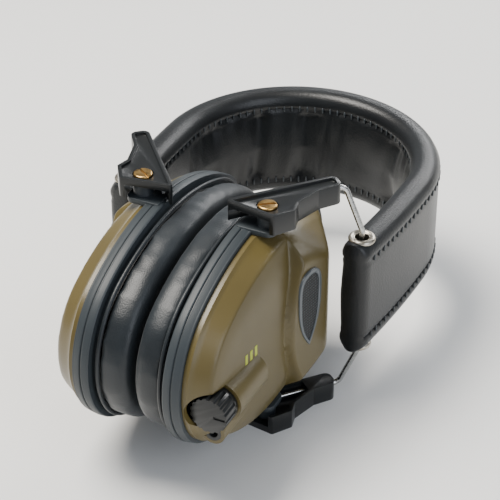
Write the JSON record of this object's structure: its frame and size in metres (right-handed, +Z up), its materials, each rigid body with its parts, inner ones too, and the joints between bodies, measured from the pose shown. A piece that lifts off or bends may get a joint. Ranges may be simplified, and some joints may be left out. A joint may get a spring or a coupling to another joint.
{
  "type": "folding earmuffs",
  "caption": "Folding electronic ear defenders: padded sprung headband, wire bails, sliding pivot arms and two deep oval ear cups with microphones.",
  "frame": {"origin": "middle of the base, on the surface that the set lies on", "axes": "+Y runs from the cups to the crown of the headband, +X out of the wearer's left ear, +Z up, which is the wearer's front"},
  "size_m": [0.1062, 0.1816, 0.089],
  "materials": {
    "vinyl": "soft black vinyl",
    "cushion_vinyl": "smooth blue-black vinyl",
    "grey_foam": "open-cell foam",
    "spring_steel": "rolled",
    "steel_wire": "drawn and plated",
    "nickel": "nickel plated",
    "brass": "turned",
    "black_plastic": "moulded",
    "grey_plastic": "moulded, fine texture",
    "arm_plastic": "moulded, satin",
    "bezel_plastic": "moulded, satin",
    "mic_cloth": "fine woven mesh",
    "board": "solder mask",
    "olive_plastic": "moulded, satin olive"
  },
  "bodies": {
    "right_band": {"right_band_sleeve": "vinyl", "right_band_foam": "grey_foam", "right_band_spring": "spring_steel", "right_band_grommets": "nickel", "right_band_bushes": "black_plastic"},
    "left_band": {"left_band_sleeve": "vinyl", "left_band_foam": "grey_foam", "left_band_spring": "spring_steel", "left_band_grommets": "nickel", "left_band_bushes": "black_plastic"},
    "left_bail": {"left_bail_wire": "steel_wire"},
    "left_arms": {"left_front_arm": "arm_plastic", "left_rear_arm": "arm_plastic"},
    "left_cup": {"left_pivot_screws": "brass", "left_ear_cushion": "cushion_vinyl", "left_cushion_frame": "black_plastic", "left_base_plate": "grey_plastic", "left_mic_bezel": "bezel_plastic", "left_mic_mesh": "mic_cloth", "left_microphone": "nickel", "left_foam_disc": "grey_foam", "left_speaker_plate": "black_plastic", "left_plate_screws": "steel_wire", "left_speaker": "black_plastic", "left_acoustic_foam": "grey_foam", "left_circuit_board": "board", "left_cup_shell": "olive_plastic", "volume_control": "black_plastic", "input_jack": "black_plastic"},
    "right_bail": {"right_bail_wire": "steel_wire"},
    "right_arms": {"right_front_arm": "arm_plastic", "right_rear_arm": "arm_plastic"},
    "right_cup": {"right_pivot_screws": "brass", "right_ear_cushion": "cushion_vinyl", "right_cushion_frame": "black_plastic", "right_base_plate": "grey_plastic", "right_mic_bezel": "bezel_plastic", "right_mic_mesh": "mic_cloth", "right_microphone": "nickel", "right_foam_disc": "grey_foam", "right_speaker_plate": "black_plastic", "right_plate_screws": "steel_wire", "right_speaker": "black_plastic", "right_acoustic_foam": "grey_foam", "right_circuit_board": "board", "right_cup_shell": "olive_plastic", "battery_cells": "nickel", "battery_tray": "black_plastic", "battery_contacts": "spring_steel", "door_hinge_pin": "steel_wire"},
    "knob": {"volume_knob": "arm_plastic"},
    "door": {"battery_door": "olive_plastic"}
  },
  "joints": [
    {"name": "headband_flex", "type": "hinge", "parent": "right_band", "child": "left_band", "pos_m": [0, 0.09079, 0.0445], "axis": [0, 0, 1], "range_deg": [0, 36], "stiffness_Nm_per_rad": 0.8, "springref_deg": -8.59},
    {"name": "left_bail_turn", "type": "hinge", "parent": "left_band", "child": "left_bail", "pos_m": [0.04537, -0.00679, 0.0445], "axis": [0, 0, 1], "range_deg": [0, 10.8]},
    {"name": "left_arm_slide", "type": "slide", "parent": "left_bail", "child": "left_arms", "axis": [-0.6543, -0.7562, 0], "range_m": [0, 0.01584]},
    {"name": "left_cup_tilt", "type": "hinge", "parent": "left_arms", "child": "left_cup", "pos_m": [0.023, -0.03429, 0.0445], "axis": [0, 0, -1], "range_deg": [0, 21.6]},
    {"name": "right_bail_turn", "type": "hinge", "parent": "right_band", "child": "right_bail", "pos_m": [-0.04537, -0.00679, 0.0445], "axis": [0, 0, -1], "range_deg": [0, 10.8]},
    {"name": "right_arm_slide", "type": "slide", "parent": "right_bail", "child": "right_arms", "axis": [0.6543, -0.7562, 0], "range_m": [0, 0.01584]},
    {"name": "right_cup_tilt", "type": "hinge", "parent": "right_arms", "child": "right_cup", "pos_m": [-0.023, -0.03429, 0.0445], "axis": [0, 0, 1], "range_deg": [0, 21.6]},
    {"name": "volume_knob_turn", "type": "hinge", "parent": "left_cup", "child": "knob", "pos_m": [0.0276, -0.08228, 0.0405], "axis": [0, -1, 0], "range_deg": [0, 270]},
    {"name": "battery_door_open", "type": "hinge", "parent": "right_cup", "child": "door", "pos_m": [-0.03098, -0.06978, 0.0445], "axis": [0, 0, 1], "range_deg": [0, 95]}
  ],
  "couplings": [
    {"joint": "left_bail_turn", "follows": "headband_flex", "ratio": 0.3},
    {"joint": "left_arm_slide", "follows": "headband_flex", "m_per_rad": 0.025208},
    {"joint": "left_cup_tilt", "follows": "headband_flex", "ratio": 0.6},
    {"joint": "right_bail_turn", "follows": "headband_flex", "ratio": 0.3},
    {"joint": "right_arm_slide", "follows": "headband_flex", "m_per_rad": 0.025208},
    {"joint": "right_cup_tilt", "follows": "headband_flex", "ratio": 0.6}
  ]
}
